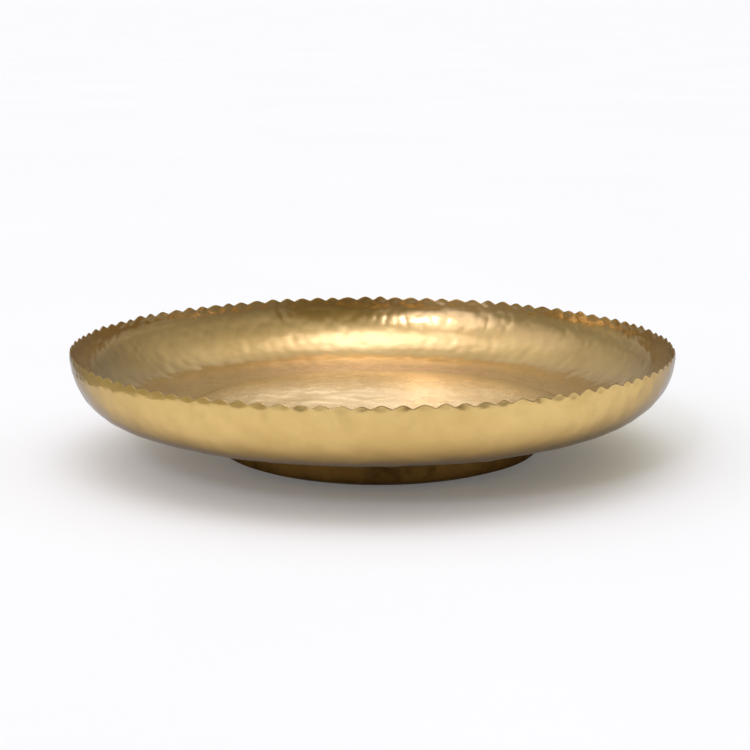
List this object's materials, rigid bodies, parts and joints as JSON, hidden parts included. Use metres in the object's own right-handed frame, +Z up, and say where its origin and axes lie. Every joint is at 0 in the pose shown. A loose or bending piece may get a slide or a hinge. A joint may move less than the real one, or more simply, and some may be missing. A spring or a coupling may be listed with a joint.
{
  "type": "footed hammered tray",
  "caption": "Round footed brass tray with a hammered surface, a flat floor, an upright scalloped lip and a low drum foot.",
  "frame": {"origin": "on the surface the tray stands on, straight below the centre of the rim", "axes": "+Z up through the rim's centre; +X towards the side that the foot is offset to by 4.5 mm; -Y towards the viewer"},
  "size_m": [0.4, 0.4, 0.075],
  "materials": {
    "dish_brass": "hammered by hand, satin polished, lightly lacquered",
    "foot_brass": "spun and hammered, satin, a little darker",
    "braze": "brazing filler, rough as laid"
  },
  "bodies": {
    "root": {"dish": "dish_brass", "foot_ring": "foot_brass", "braze_fillet": "braze"}
  },
  "joints": []
}
